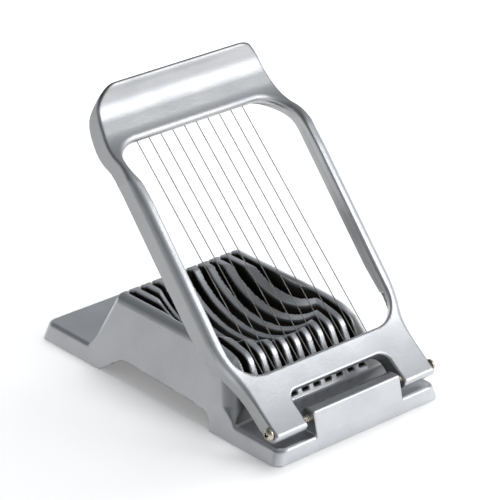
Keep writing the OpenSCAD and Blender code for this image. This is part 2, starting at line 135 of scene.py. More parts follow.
@dataclass
class SurfaceNet:
    """Turns a distance field into a closed mesh of quads.

    Attributes:
        shape: Distance field, negative inside.
        xs: Grid lines across the part.
        ys: Grid lines along the part.
        zs: Grid lines up the part.
    """

    shape: Field
    xs: Grid
    ys: Grid
    zs: Grid

    def gradient(self, points: Grid) -> Grid:
        """Slope of the field at each point, by central differences."""
        step = 0.02
        slopes = []
        for axis in range(3):
            high, low = points.copy(), points.copy()
            high[:, axis] += step
            low[:, axis] -= step
            slopes.append((self.shape(*high.T) - self.shape(*low.T)) / (2 * step))
        return np.stack(slopes, axis=1)

    def settle(self, points: Grid, rounds: int = 4) -> Grid:
        """Move points along the slope until they lie on the surface."""
        for _ in range(rounds):
            slope = self.gradient(points)
            steep = np.maximum((slope * slope).sum(axis=1), 0.25)
            move = (self.shape(*points.T) / steep)[:, None] * slope
            length = np.linalg.norm(move, axis=1, keepdims=True)
            points = points - move * np.minimum(1.0, 0.3 / np.maximum(length, 1e-9))
        return points

    @staticmethod
    def faces(index: Grid, axis: int, crossed: Grid, leaving: Grid) -> Grid:
        """Span a quad round each place where the surface crosses a grid line.

        Args:
            index: Vertex number of each cell.
            axis: Axis along which the grid lines run.
            crossed: Whether each stretch of grid line crosses the surface.
            leaving: Whether each stretch starts inside the shape.

        Returns:
            Rows of four vertex numbers, wound to face outward.
        """
        second, third = (axis + 1) % 3, (axis + 2) % 3
        spot = np.argwhere(crossed)
        inner = np.ones(len(spot), bool)
        for side in (second, third):
            inner &= (spot[:, side] > 0) & (spot[:, side] < index.shape[side])
        spot = spot[inner]
        ring = []
        for a, b in ((1, 1), (0, 1), (0, 0), (1, 0)):
            cell = spot.copy()
            cell[:, second] -= a
            cell[:, third] -= b
            ring.append(index[tuple(cell.T)])
        quads = np.stack(ring, axis=1)
        turned = ~leaving[tuple(spot.T)]
        quads[turned] = quads[turned][:, ::-1]
        return quads

    def build(self) -> tuple[Grid, Grid, Grid]:
        """Mesh the field.

        Returns:
            Points in millimetres, unit normals and quads that face outward.
        """
        axes = (self.xs, self.ys, self.zs)
        nodes = np.meshgrid(*axes, indexing="ij")
        value = self.shape(*nodes)
        inside = value < 0
        cells = tuple(len(a) - 1 for a in axes)
        total = np.zeros(cells + (3,))
        count = np.zeros(cells)
        crossings = []
        for axis in range(3):
            low = tuple(LOW if i == axis else ALL for i in range(3))
            high = tuple(HIGH if i == axis else ALL for i in range(3))
            crossed = inside[low] != inside[high]
            crossings.append((crossed, inside[low]))
            gap = np.where(crossed, value[low] - value[high], 1.0)
            share = np.where(crossed, value[low] / gap, 0.0)
            spots = [n[low] for n in nodes]
            spots[axis] = spots[axis] + share * (nodes[axis][high] - nodes[axis][low])
            # Each crossing counts for the four cells around it
            for ends in product((LOW, HIGH), repeat=2):
                pick = ends[:axis] + (ALL,) + ends[axis:]
                count += crossed[pick]
                for i in range(3):
                    total[..., i] += np.where(crossed[pick], spots[i][pick], 0.0)
        active = count > 0
        index = np.full(cells, -1)
        index[active] = np.arange(active.sum())
        points = self.settle(total[active] / count[active][:, None])
        quads = [self.faces(index, axis, *found) for axis, found in enumerate(crossings)]
        slope = self.gradient(points)
        normals = slope / np.maximum(np.linalg.norm(slope, axis=1, keepdims=True), 1e-9)
        return points, normals, np.concatenate(quads)


def linked(name: str, data: bpy.types.ID) -> bpy.types.Object:
    """Make an object of a mesh, lamp or camera and put it in the scene."""
    made = bpy.data.objects.new(name, data)
    bpy.context.scene.collection.objects.link(made)
    return made


def mesh_object(
    name: str, points: Grid, normals: Grid, quads: Grid, **masks: Grid
) -> bpy.types.Object:
    """Make an object of a meshed field.

    Args:
        name: Name of the piece.
        points: Vertices in metres.
        normals: Unit normal of each vertex.
        quads: Four vertex numbers for each face.
        masks: Painted shade values from 0 to 1 for each vertex, which the finish reads.

    Returns:
        The linked object, smooth shaded with its own normals.
    """
    mesh = bpy.data.meshes.new(name)
    mesh.from_pydata(points.tolist(), [], quads.tolist())
    mesh.shade_smooth()
    mesh.normals_split_custom_set_from_vertices(normals.tolist())
    for mask, values in masks.items():
        layer = mesh.attributes.new(mask, "FLOAT", "POINT")
        layer.data.foreach_set("value", values.astype(np.float32))
    mesh.update()
    return linked(name, mesh)


# Castings


@dataclass
class BaseCasting:
    """Base plate, egg block with slots and cradle, and hinge block."""

    length: float = 138.5
    half_width: float = 41.0
    side_lean: float = 18.9
    front_lean: float = 0.08
    rear_lean: float = 0.2
    deck: float = 6.2
    tail: float = 6.7
    wall: float = 2.6
    plate_corner: float = 4.0
    plate_edge: float = 1.3
    face_foot: float = 22.4
    face_angle: float = 63.3
    crease_height: float = 25.5
    crease_round: float = 2.2
    block_height: float = 28.7
    shoulder_radius: float = 76.0
    ridge: float = 102.2
    back_angle: float = 70.0
    face_corner: float = 6.0
    top_corner: float = 3.0
    cradle_y: float = 67.5
    cradle_axis: float = 56.0
    cradle_radius: float = 42.0
    cradle_profile: float = 34.0
    slot_count: int = 10
    slot_pitch: float = 5.7
    slot_width: float = 3.0
    slot_floor: float = 7.8
    ridge_land: float = 1.8
    kerf_width: float = 1.0
    kerf_floor: float = 14.5
    rib_round: float = 0.4
    under_block: float = 9.6
    chamber_height: float = 21.0
    hinge_y: float = 5.5
    hinge_width: float = 42.6
    hinge_height: float = 15.5
    hinge_round: float = 3.8
    nose_lean: float = 0.032
    arch_start: float = 37.6
    arch_end: float = 101.8
    arch_height: float = 8.0
    arch_slant: float = 12.0
    arch_rise: float = 1.7
    arch_lean: float = 8.0
    arch_round: float = 5.5

    def __post_init__(self) -> None:
        """Work out the lines that follow from the named sizes."""
        crease_y = self.face_foot + self.crease_height / math.tan(math.radians(self.face_angle))
        drop = self.shoulder_radius - (self.block_height - self.crease_height)
        self.flat_y = crease_y + math.sqrt(self.shoulder_radius**2 - drop**2)
        self.slot_end = self.ridge - self.ridge_land - self.slot_width / 2
        self.reach = (self.slot_count - 1) / 2 * self.slot_pitch

    def side(self, x: Grid, z: Grid, skin: float = 0.0) -> Grid:
        """Distance to the leaning side walls, moved inward by a skin."""
        lean = math.radians(self.side_lean)
        return (np.abs(x) - (self.half_width - skin) + z * math.tan(lean)) * math.cos(lean)

    def block_profile(self, y: Grid, z: Grid) -> Grid:
        """Side view of the egg block: face, crease, shoulder, top, back."""
        face, back = math.radians(self.face_angle), math.radians(self.back_angle)
        front = (self.face_foot - y) * math.sin(face) + z * math.cos(face)
        radius = self.shoulder_radius
        arc = np.hypot(y - self.flat_y, z - self.block_height + radius) - radius
        top = np.where(y < self.flat_y, arc, z - self.block_height)
        behind = (y - self.ridge) * math.sin(back) + (z - self.block_height) * math.cos(back)
        return meet(meet(front, top, self.crease_round), behind, 0.7)

    def arch(self, y: Grid, z: Grid) -> Grid:
        """Side view of the arch through both walls."""
        rise = self.arch_rise / (self.arch_end - self.arch_slant - self.arch_start - 6.0)
        top = z - self.arch_height - (y - self.arch_end + self.arch_slant) * rise
        slope = math.atan2(self.arch_height, self.arch_slant)
        back = (y - self.arch_end) * math.sin(slope) + z * math.cos(slope)
        lean = math.radians(self.arch_lean)
        front = (self.arch_start - y) * math.cos(lean) + z * math.sin(lean)
        return meet(meet(top, back, 1.6), front, self.arch_round)

    def hollow(self, x: Grid, y: Grid, z: Grid) -> Grid:
        """Hollow under plate and block, open to the table."""
        roof = np.where(y < self.ridge - 2.5, self.under_block, self.tail - self.wall)
        face = math.radians(self.face_angle)
        back = self.face_foot + self.under_block / math.tan(face) + self.wall / math.sin(face)
        roof = np.where(y < back, self.deck - self.wall, roof)
        beside = np.abs(x) > self.hinge_width / 2 + self.wall
        start = np.where(beside, 0.0, self.hinge_y + self.hinge_round) + self.wall
        side = self.side(x, z, self.wall)
        room = common(side, z - roof, start - y, y - self.length + self.wall + 1.4)
        inner = self.reach + self.slot_width / 2 + self.wall
        chamber = common(side, inner - np.abs(x), z - self.chamber_height)
        chamber = common(chamber, self.flat_y - 16.0 - y, y - self.ridge + 4.0)
        return np.minimum(room, chamber)

    def slots(self, x: Grid, y: Grid, z: Grid) -> Grid:
        """Slots with round ends, and the kerfs past the ridge."""
        number = np.clip(np.round((x + self.reach) / self.slot_pitch), 0, self.slot_count - 1)
        across = x + self.reach - number * self.slot_pitch
        past = np.maximum(y - self.slot_end, 0.0)
        slot = common(np.hypot(across, past) - self.slot_width / 2, self.face_foot - 3.0 - y)
        slot = meet(slot, self.slot_floor - z, 0.3)
        kerf = common(np.abs(across) - self.kerf_width / 2, self.kerf_floor - z, self.slot_end - y)
        return np.minimum(slot, kerf)

    def hinge_block(self, x: Grid, y: Grid, z: Grid) -> Grid:
        """Block between the lugs that holds the hinge screws."""
        lean = math.atan2(1.9, 8.3)
        upper = (0.2 - y) * math.cos(lean) + (z - self.deck) * math.sin(lean)
        front = np.maximum(upper, z * self.nose_lean - y)
        top = z - self.hinge_height
        back = y - self.hinge_y - self.hinge_round
        profile = meet(meet(front, top, 0.9), back, self.hinge_round)
        return meet(profile, np.abs(x) - self.hinge_width / 2, 0.6)

    def envelope(self, x: Grid, y: Grid, z: Grid) -> Grid:
        """Outside of the casting with the cradle, before slots and hollows."""
        side = self.side(x, z)
        block = self.block_profile(y, z)
        deck = z - np.where(y < 60.0, self.deck, self.tail)
        profile = join(block, deck, 0.7)
        front = z * self.front_lean - y
        rear = y - self.length + z * self.rear_lean
        plan = meet(meet(side, front, self.plate_corner), rear, self.plate_corner)
        up = ramp(z, self.deck + 0.4, self.deck + 5.0)
        near = 1.0 - ramp(y, 36.0, 44.0)
        edge = self.plate_edge + up * (
            near * (self.face_corner - self.plate_edge)
            + (1.0 - near) * (self.top_corner - self.plate_edge)
        )
        body = meet(profile, plan, edge)
        body = np.maximum(join(body, self.hinge_block(x, y, z), 0.4), z * self.nose_lean - y)
        ring = np.hypot(y - self.cradle_y, z - self.cradle_axis)
        bowl = np.hypot(ring - (self.cradle_radius - self.cradle_profile), x)
        return cut(body, bowl - self.cradle_profile, 0.7)

    def shape(self, x: Grid, y: Grid, z: Grid) -> Grid:
        """Whole casting, negative inside."""
        body = cut(self.envelope(x, y, z), self.hollow(x, y, z), 0.2)
        body = cut(body, self.arch(y, z), 0.3)
        body = cut(body, self.slots(x, y, z), self.rib_round)
        return np.maximum(body, -z)

    def masks(self, points: Grid, normals: Grid) -> dict[str, Grid]:
        """Find where the casting gets painted shade.

        Args:
            points: Vertices in millimetres.
            normals: Unit normal of each vertex.

        Returns:
            Masks of painted shade deep in slots and hollows, and on side faces, the front face
            beside the slots and the hinge block top.
        """
        x, y, z = points.T
        # Painted shade that deepens inside slots and hollows, and on faces turned to the sides
        recess = ramp(-self.envelope(x, y, z), 0.15, 1.2)
        painted_shade = 0.6 * ramp(np.abs(normals[:, 0]), 0.75, 0.92)
        # Painted shade on the front face of the egg block beside the slots
        slope = math.radians(self.face_angle)
        facing = normals[:, 2] * math.cos(slope) - normals[:, 1] * math.sin(slope)
        beside = ramp(np.abs(x), self.reach + 1.6, self.reach + 2.6)
        beside *= ramp(facing, 0.8, 0.97) * (y > 15.0)
        # Painted shade on the top of the hinge block
        top = ramp(normals[:, 2], 0.8, 0.95) * (y < 14.0) * (z > 12.0)
        painted_shade = np.maximum(np.maximum(painted_shade, beside), 0.5 * top)
        return {"recess": np.maximum(recess, 0.5 * beside), "painted_shade": painted_shade}

    def build(self) -> bpy.types.Object:
        """Mesh the casting in place, as a piece of the base."""
        step = self.slot_pitch / 12
        inner = self.reach + self.slot_pitch
        net = SurfaceNet(
            self.shape,
            lines((-41.7, -inner, 0.6), (-inner, inner, step), (inner, 41.7, 0.6)),
            lines(
                (-0.6, 10.8, 0.45),
                (10.8, 19.0, 1.1),
                (19.0, 42.0, 0.7),
                (42.0, 96.0, 1.6),
                (96.0, 106.0, 0.55),
                (106.0, 133.0, 1.5),
                (133.0, 139.2, 0.6),
            ),
            lines((-0.5, 8.5, 0.5), (8.5, 23.5, 0.8), (23.5, 29.6, 0.42)),
        )
        points, normals, quads = net.build()
        masks = self.masks(points, normals)
        points = (points - [0.0, self.length / 2, 0.0]) * MM
        piece = mesh_object("base_body", points, normals, quads, **masks)
        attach(piece, Body.BASE.value)
        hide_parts("base_casting")
        return piece


@dataclass
class LeverFrame:
    """Hinged frame with lugs, arms, lower bar and thumb bar.

    Its shape is drawn in x across, r along the arms from the hinge axis and
    h out of the face, and is turned up to the angle at which the lever stands.
    """

    angle: float = 49.5
    hinge_y: float = 5.5
    hinge_z: float = 11.7
    base_length: float = 138.5
    reach: float = 141.2
    arm_side: float = 44.7
    lug_side: float = 39.4
    notch_side: float = 24.1
    notch_reach: float = 11.2
    notch_round: float = 4.0
    drop: float = 3.4
    depth: float = 8.7
    lug_round: float = 3.7
    arm_width: float = 5.0
    taper: float = 10.2
    taper_start: float = 104.3
    heel_radius: float = 180.0
    heel_start: float = 45.0
    curve_start: float = 9.0
    curve_length: float = 29.0
    window_start: float = 20.5
    window_end: float = 115.5
    window_low: float = 12.5
    window_high: float = 11.0
    draft: float = 16.5
    scoop_entry: float = 101.0
    scoop_reach: float = 128.0
    scoop_flat: float = 4.0
    scoop_drop: float = 11.4
    scoop_radius: float = 14.0
    rim_drop: float = 5.8
    rim_corner: float = 9.0
    bar_wall: float = 3.5
    vault_half: float = 31.3
    vault_round: float = 7.0
    skirt: float = 2.2
    notch_wall: float = 1.6
    low_roof: float = 3.3008
    low_slope: float = 0.1015
    low_end: float = 31.114
    low_lean: float = 0.21
    handle_round: float = 9.0
    back_angle: float = 57.2
    crown: float = 0.8
    crown_rise: tuple[float, float] = (18.0, 45.0)
    crown_fall: tuple[float, float] = (92.0, 106.0)
    outer_edge: float = 3.0
    handle_edge: float = 1.2
    inner_edge: float = 1.1
    lip_edge: float = 3.2
    rail_wall: float = 2.4
    rail_half: float = 28.65
    rails: Sequence[tuple[float, float, float]] = ((16.3, -7.7, -4.2), (125.0, -17.6, -14.3))

    def __post_init__(self) -> None:
        """Work out the lines that follow from the named sizes."""
        fall = self.scoop_drop - self.drop
        self.wave_run = self.scoop_reach - self.scoop_flat - self.scoop_entry
        self.wave_end = self.scoop_entry + self.wave_run
        self.wave = (self.wave_run**2 + fall**2) / (4 * fall)
        widen = self.arm_side - self.lug_side
        self.curve = (self.curve_length**2 + widen**2) / (4 * widen)
        slope = math.radians(self.back_angle)
        rise = self.scoop_drop + self.depth - self.rim_drop
        self.handle_back = (
            self.reach
            - 0.35
            - self.handle_round * math.sin(slope)
            - (rise - self.handle_round * (1 - math.cos(slope))) / math.tan(slope)
        )

    def zones(self, r: Grid) -> list[Grid]:
        """Find heel, arm, fall, catch and flat of the face, each up to its end."""
        middle = self.scoop_entry + self.wave_run / 2
        ends = (self.heel_start, self.scoop_entry, middle, self.wave_end, self.scoop_reach)
        return [r < end for end in ends]

    def face(self, r: Grid, h: Grid) -> Grid:
        """Distance to the face, which falls into the thumb scoop."""
        heel = self.heel_radius - np.hypot(
            r - self.heel_start, h - self.heel_radius + self.drop
        )
        fall = np.hypot(r - self.scoop_entry, h + self.drop + self.wave) - self.wave
        catch = self.wave - np.hypot(r - self.wave_end, h + self.scoop_drop - self.wave)
        scoop = self.scoop_radius - np.hypot(
            r - self.scoop_reach, h + self.scoop_drop - self.scoop_radius
        )
        return np.select(
            self.zones(r),
            [heel, h + self.drop, fall, catch, h + self.scoop_drop],
            np.where(h > self.scoop_radius - self.scoop_drop, 1.0, scoop),
        )

    def face_height(self, r: Grid) -> Grid:
        """Height of the face at a distance along the arms."""

        def arc(radius: float, centre: float) -> Grid:
            """Rise of an arc over its lowest or highest point."""
            return radius - np.sqrt(np.maximum(radius**2 - (r - centre) ** 2, 0.01))

        return np.select(
            self.zones(r),
            [
                arc(self.heel_radius, self.heel_start) - self.drop,
                -self.drop,
                -self.drop - arc(self.wave, self.scoop_entry),
                arc(self.wave, self.wave_end) - self.scoop_drop,
                -self.scoop_drop,
            ],
            arc(self.scoop_radius, self.scoop_reach) - self.scoop_drop,
        )

    def under(self, r: Grid, h: Grid) -> Grid:
        """Distance to the back of the frame, negative above it."""
        heel = np.where(r < 3.0, -self.lug_round - r * 0.467, -5.1 - (r - 3.0) * 0.1667)
        arm = self.face_height(r) - self.depth
        low = np.where(r < self.heel_start, heel, arm) - h
        centre = self.handle_round - self.scoop_drop - self.depth
        bulge = np.hypot(r - self.handle_back, h - centre) - self.handle_round
        slope = math.radians(self.back_angle)
        foot_r = self.handle_back + self.handle_round * math.sin(slope)
        foot_h = centre - self.handle_round * math.cos(slope)
        run, rise = self.reach - foot_r, -self.rim_drop - foot_h
        length = math.hypot(run, rise)
        back = ((r - foot_r) * rise - (h - foot_h) * run) / length
        chord_r, chord_h = foot_r - self.handle_back, foot_h + self.scoop_drop
        chord = math.hypot(chord_r, chord_h)
        above = ((r - foot_r) * chord_h - (h - foot_h) * chord_r) / chord
        return np.where(
            r < self.handle_back, low * 0.96, np.minimum(bulge, np.maximum(back, above))
        )

    def plan(self, x: Grid, r: Grid, inset: float = 0.0) -> Grid:
        """Distance to the outline seen square to the face."""
        start, middle = self.curve_start, self.curve_start + self.curve_length / 2
        end = self.curve_start + self.curve_length
        tilt = math.tan(math.radians(self.taper))

        def arc(centre: float) -> tuple[Grid, Grid]:
            """Offset and slope of a shoulder arc."""
            rise = np.sqrt(np.maximum(self.curve**2 - (r - centre) ** 2, 1.0))
            return self.curve - rise, np.abs(r - centre) / rise

        low, low_slope = arc(start)
        high, high_slope = arc(end)
        zones = [r < start, r < middle, r < end, r < self.taper_start]
        width = np.select(
            zones,
            [self.lug_side, self.lug_side + low, self.arm_side - high, self.arm_side],
            self.arm_side - (r - self.taper_start) * tilt,
        )
        slope = np.select(zones, [0.0, low_slope, high_slope, 0.0], tilt)
        sides = (np.abs(x) - width + inset) / np.sqrt(1 + slope**2)
        return meet(sides, r - self.reach, self.rim_corner)

    def window(self, x: Grid, r: Grid, h: Grid) -> Grid:
        """Distance to the window, which widens toward the back."""
        draft = math.radians(self.draft)
        grow = (-self.drop - h) * math.tan(draft)
        side = np.abs(x) - (self.arm_side - self.arm_width) - grow
        low = self.window_start - grow - r
        high = r - self.window_end - grow
        hole = meet(side, low, np.maximum(self.window_low + grow, 1.0))
        return meet(hole, high, np.maximum(self.window_high + grow, 1.0)) * math.cos(draft)

    def shape(self, x: Grid, r: Grid, h: Grid) -> Grid:
        """Whole frame, negative inside."""
        raised = self.crown * (ramp(r, *self.crown_rise) - ramp(r, *self.crown_fall))
        face, plan = self.face(r, h - raised), self.plan(x, r)
        rim = h + self.rim_drop
        face = np.where(r > self.scoop_reach, meet(face, rim, 0.9), face)
        nose = np.hypot(r, h) - self.lug_round
        side = np.where(r < 0.0, nose, self.under(r, h))
        side = np.where(r < 4.0, np.minimum(side, nose), side)
        slim = 1.0 - ramp(r, 8.0, 26.0) + ramp(r, 96.0, 112.0)
        edge = self.outer_edge + (self.handle_edge - self.outer_edge) * slim
        skin = meet(face, plan, edge)
        body = meet(skin, side, 0.6)
        below = -face
        edge = self.inner_edge + (self.lip_edge - self.inner_edge) * ramp(r, 100.0, 110.0)
        lip = 0.5 + (edge - 0.5) * (1.0 - ramp(below, 2.5, 6.0))
        body = cut(body, self.window(x, r, h), lip)
        flat = np.abs(x) - self.notch_side
        notch = meet(flat, r - self.notch_reach, self.notch_round)
        body = cut(body, notch, 0.5 + 0.5 * (1.0 - ramp(below, 1.5, 4.0)))
        # Hollow behind the lower bar
        roof = h + self.low_roof + r * self.low_slope
        end = r - self.low_end + h * self.low_lean
        start = self.notch_reach + self.notch_wall - r
        body = cut(body, common(start, self.plan(x, r, self.skirt), roof, end), 0.2)
        # Hollow behind the thumb bar
        roof = h + self.scoop_drop + self.bar_wall - 1.2
        vault = meet(np.abs(x) - self.vault_half, roof, self.vault_round)
        start, end = self.window_end - 8.0 - r, r - self.handle_back - 4.6
        body = cut(body, common(face + self.bar_wall, start, end, vault), 0.4)
        # Rails that the wires pull on
        for reach, bottom, top in self.rails:
            wall = np.abs(r - reach) - self.rail_wall / 2
            rail = common(np.abs(x) - self.rail_half, wall, bottom - h, h - top)
            body = np.minimum(body, rail)
        return body

    def placed(self, points: Grid, moved: bool = True) -> Grid:
        """Turn points or normals up with the lever.

        Args:
            points: Rows of across, along and out values.
            moved: Whether to place them at the hinge, as points need.

        Returns:
            Rows in the frame of the base, in metres for points.
        """
        tilt = math.radians(self.angle)
        x, r, h = points.T
        y = r * math.cos(tilt) - h * math.sin(tilt)
        z = r * math.sin(tilt) + h * math.cos(tilt)
        if not moved:
            return np.stack([x, y, z], axis=1)
        y = y + self.hinge_y - self.base_length / 2
        return np.stack([x, y, z + self.hinge_z], axis=1) * MM

    def masks(self, points: Grid, normals: Grid) -> dict[str, Grid]:
        """Find where the frame gets painted shade, before it is turned up."""
        x, r, h = points.T
        plan = self.plan(x, r)
        # Painted shade deep below the face, a painted dark line on the rim, and painted shade on the
        # scoop and on faces turned to the sides
        recess = 0.65 * ramp(-np.maximum(self.face(r, h), plan), 2.5, 7.0)
        rim = ramp(plan, -1.6, -0.8) * ramp(r, 126.0, 134.0) * ramp(h, -12.0, -8.0)
        scoop = 0.4 * ramp(r, 90.0, 110.0)
        painted_shade = np.maximum(ramp(np.abs(normals[:, 0]), 0.75, 0.92), scoop)
        return {"recess": np.maximum(recess, 0.8 * rim), "painted_shade": painted_shade}

    def build(self) -> bpy.types.Object:
        """Mesh the frame in place, as a piece of the lever."""
        net = SurfaceNet(
            self.shape,
            lines(
                (-45.4, -36.0, 0.45),
                (-36.0, -22.0, 0.7),
                (-22.0, 22.0, 1.1),
                (22.0, 36.0, 0.7),
                (36.0, 45.4, 0.45),
            ),
            lines((-4.5, 20.0, 0.5), (20.0, 36.0, 0.8), (36.0, 98.0, 1.5), (98.0, 142.0, 0.62)),
            lines((-21.45, 3.7, 0.45)),
        )
        points, normals, quads = net.build()
        masks = self.masks(points, normals)
        turned = self.placed(normals, moved=False)
        piece = mesh_object("lever_body", self.placed(points), turned, quads, **masks)
        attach(piece, Body.LEVER.value)
        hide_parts("lever_frame")
        return piece


# Geometry Nodes


class NodeTools:
    """Short calls for placing and linking the nodes of one tree."""

    tree: bpy.types.NodeTree

    def node(self, kind: str, *sources: object, **inputs: object) -> bpy.types.Node:
        """Add a node and feed its inputs.

        Args:
            kind: Type name of the node.
            sources: Socket, node or value for each of the first inputs.
            inputs: The same for other inputs, by name with _ for spaces.

        Returns:
            The new node.
        """
        made = self.tree.nodes.new(kind)
        for target, source in zip(made.inputs, sources):
            self.feed(target, source)
        for key, source in inputs.items():
            self.feed(made.inputs[key.replace("_", " ")], source)
        return made

    def feed(self, target: bpy.types.NodeSocket, source: object) -> None:
        """Link a socket or a node's first output to an input, or set a value."""
        if isinstance(source, bpy.types.Node):
            source = source.outputs[0]
        if isinstance(source, bpy.types.NodeSocket):
            self.tree.links.new(source, target)
        else:
            target.default_value = source

    def math(self, operation: str, a: object, b: object = 0.0) -> bpy.types.NodeSocket:
        """Add a math node and return its result."""
        made = self.node("ShaderNodeMath", a, b)
        made.operation = operation
        return made.outputs[0]


class PieceTree(NodeTools):
    """Builds a Geometry Nodes tree and turns its result into a mesh."""

    def __init__(self, name: str) -> None:
        """Start a tree with a geometry output, named as the piece it makes."""
        self.name = name
        self.tree = bpy.data.node_groups.new(name, "GeometryNodeTree")
        self.tree.interface.new_socket("Geometry", in_out="OUTPUT", socket_type="NodeSocketGeometry")
        self.inlet = self.tree.nodes.new("NodeGroupInput")
        self.outlet = self.tree.nodes.new("NodeGroupOutput")
        self.values: dict[str, object] = {}

    def size(self, name: str, kind: str, value: object) -> bpy.types.NodeSocket:
        """Add an input of a kind such as Float, and return its socket in the tree."""
        kind = f"NodeSocket{kind}"
        item = self.tree.interface.new_socket(name, in_out="INPUT", socket_type=kind)
        self.values[item.identifier] = value
        return self.inlet.outputs[name]

    def baked(self, last: bpy.types.Node) -> bpy.types.Object:
        """Run the tree to its last node and keep the result as a plain mesh object."""
        self.feed(self.outlet.inputs[0], last)
        carrier = linked(self.name, bpy.data.meshes.new(self.name))
        modifier = carrier.modifiers.new(self.name, "NODES")
        modifier.node_group = self.tree
        for identifier, value in self.values.items():
            modifier[identifier] = value
        carrier.update_tag()
        bpy.context.view_layer.update()
        evaluated = carrier.evaluated_get(bpy.context.evaluated_depsgraph_get())
        mesh = bpy.data.meshes.new_from_object(evaluated)
        carrier.modifiers.clear()
        carrier.data = mesh
        mesh.name = self.name
        return carrier


@dataclass
class CuttingWires:
    """Taut wires between the two rails, each with a bead at both ends."""

    count: int = 10
    pitch: float = 5.7
    thickness: float = 0.36
    bead: float = 1.8
    gap: float = 0.05
    lower: tuple[float, float] = (16.3, -6.7)
    upper: tuple[float, float] = (125.0, -16.2)
    rail_wall: float = 2.4

    def build(self, lever: LeverFrame, finish: bpy.types.Material) -> bpy.types.Object:
        """String the wires between the rails, as one piece of the lever."""
        stand = self.rail_wall / 2 + self.bead / 2 + self.gap
        run = Vector((self.upper[0] - self.lower[0], self.upper[1] - self.lower[1]))
        along = run.normalized() * stand
        first = -(self.count - 1) / 2 * self.pitch
        ends = np.array([
            [first, self.lower[0] - along[0], self.lower[1] - along[1]],
            [first, self.upper[0] + along[0], self.upper[1] + along[1]],
        ])
        start, end = (Vector(p) for p in lever.placed(ends).tolist())
        tree = PieceTree("cutting_wires")
        count = tree.size("Count", "Int", self.count)
        spacing = tree.size("Spacing", "Vector", (self.pitch * MM, 0.0, 0.0))
        span = tree.size("Span", "Vector", tuple(end - start))
        place = tree.size("First End", "Vector", tuple(start))
        radius = tree.size("Wire Radius", "Float", self.thickness / 2 * MM)
        bead = tree.size("Bead Radius", "Float", self.bead / 2 * MM)
        coat = tree.size("Finish", "Material", finish)
        row = tree.node("GeometryNodeMeshLine", Count=count, Offset=spacing, Start_Location=place)
        line = tree.node("GeometryNodeCurvePrimitiveLine", End=span)
        ring = tree.node("GeometryNodeCurvePrimitiveCircle", Resolution=12, Radius=radius)
        wire = tree.node("GeometryNodeCurveToMesh", Curve=line, Profile_Curve=ring, Fill_Caps=True)
        ball = tree.node("GeometryNodeMeshIcoSphere", Radius=bead, Subdivisions=3)
        far = tree.node("GeometryNodeTransform", Geometry=ball, Translation=span)
        whole = tree.node("GeometryNodeJoinGeometry")
        for part in (wire, ball, far):
            tree.feed(whole.inputs[0], part)
        set_out = tree.node("GeometryNodeInstanceOnPoints", Points=row, Instance=whole)
        real = tree.node("GeometryNodeRealizeInstances", Geometry=set_out)
        smooth = tree.node("GeometryNodeSetShadeSmooth", Geometry=real)
        piece = tree.baked(tree.node("GeometryNodeSetMaterial", Geometry=smooth, Material=coat))
        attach(piece, Body.LEVER.value)
        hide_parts(*[f"cutting_wire_{n:02d}" for n in range(1, self.count + 1)])
        return piece


